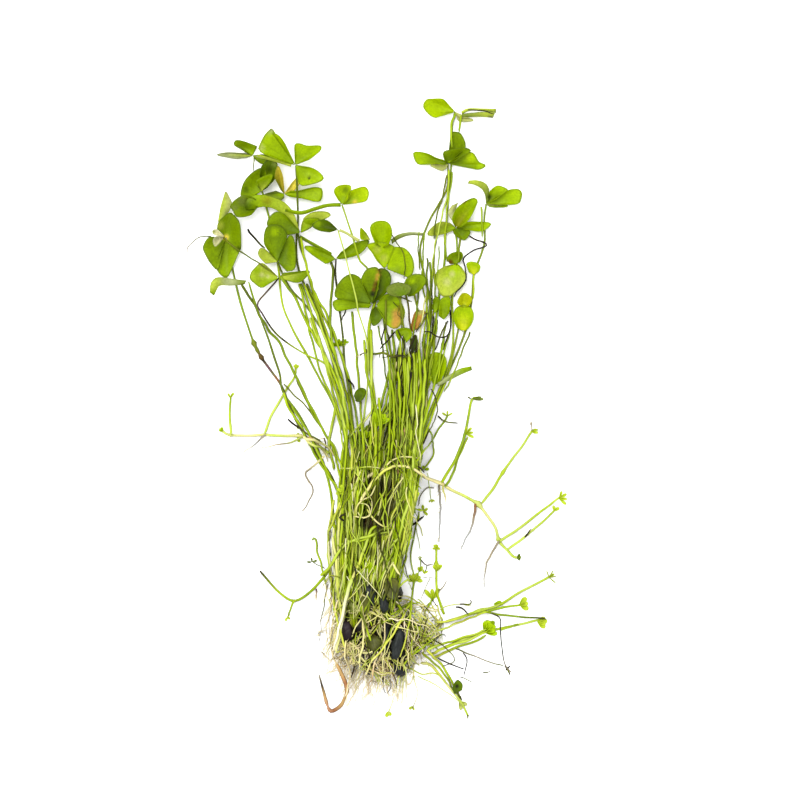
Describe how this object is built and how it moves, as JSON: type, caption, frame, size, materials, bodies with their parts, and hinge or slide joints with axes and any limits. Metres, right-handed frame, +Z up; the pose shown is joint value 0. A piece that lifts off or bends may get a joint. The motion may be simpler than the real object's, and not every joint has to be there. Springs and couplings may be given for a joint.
{
  "type": "water clover",
  "caption": "Rooted bunch of water clover lying flat: long thin stalks with four-lobed clover leaves fan out from a root crown, with creeping stems, young shoots and loose roots.",
  "frame": {"origin": "bottom centre of the bunch's bounding box, on the table it lies on", "axes": "+Z up, +Y along the bunch from the roots towards the leaves, +X to the right as seen from above"},
  "size_m": [0.114, 0.1862, 0.0178],
  "materials": {
    "lime_leaf": "satin",
    "green_leaf": "satin",
    "dark_leaf": "satin",
    "olive_leaf": "satin",
    "yellow_green_leaf": "satin",
    "pale_leaf": "satin",
    "dead_leaf": "matte",
    "green_stalk": "satin",
    "brown_stalk": "satin",
    "young_shoot": "satin",
    "pale_shoot": "satin",
    "creeping_stem": "satin",
    "crown": "matte",
    "roots": "matte",
    "dead_stalk": "matte",
    "straw": "matte"
  },
  "bodies": {
    "root": {"root_crown": "crown", "root_tuft": "roots", "stalk_bundle": "green_stalk", "runner_left": "creeping_stem", "runner_low_left": "young_shoot", "runner_right": "creeping_stem", "dead_straw": "straw", "beaded_stem": "young_shoot", "low_sprig": "pale_shoot", "shoot_left_upright": "young_shoot", "shoot_left_slanted": "young_shoot", "shoot_right_tall": "young_shoot", "shoot_right_long": "young_shoot", "shoot_far_right": "young_shoot", "shoot_far_right_low": "pale_shoot", "shoot_low_right_long": "young_shoot", "shoot_low_right_fan": "young_shoot", "shoot_low_right_thick": "young_shoot", "dead_stalk_right": "dead_stalk", "stalk_crest_right": "green_stalk", "leaf_crest_right": "lime_leaf", "leaf_small_left": "green_leaf", "stalk_domed": "green_stalk", "leaf_domed": "dark_leaf", "leaf_yellow_edged": "yellow_green_leaf", "stalk_crest_left": "green_stalk", "leaf_crest_left": "lime_leaf", "stalk_upper_right": "green_stalk", "leaf_upper_right": "green_leaf", "stalk_right": "green_stalk", "leaf_right": "lime_leaf", "stalk_far_left": "green_stalk", "leaf_far_left": "green_leaf", "stalk_two_toned": "green_stalk", "leaf_two_toned": "olive_leaf", "leaf_round": "pale_leaf", "stalk_arched": "green_stalk", "leaf_arched": "olive_leaf", "leaf_inner_dark": "dark_leaf", "stalk_middle_left": "green_stalk", "leaf_middle_left": "green_leaf", "stalk_inner_green": "green_stalk", "leaf_inner_green": "green_leaf", "stalk_twin_lobe": "green_stalk", "leaf_twin_lobe": "lime_leaf", "stalk_bright_middle": "green_stalk", "leaf_bright_middle": "lime_leaf", "leaf_dark_middle": "dark_leaf", "stalk_inner_right": "green_stalk", "leaf_inner_right": "dark_leaf", "leaf_patched": "olive_leaf", "leaf_dead": "dead_leaf", "stalk_low_left": "brown_stalk", "leaf_low_left": "green_leaf", "stalk_pale_left": "green_stalk", "leaf_pale_left": "pale_leaf", "stalk_yellow_cluster": "green_stalk", "leaf_yellow_cluster": "yellow_green_leaf", "stalk_lower_right": "green_stalk", "leaf_lower_right": "green_leaf"}
  },
  "joints": []
}
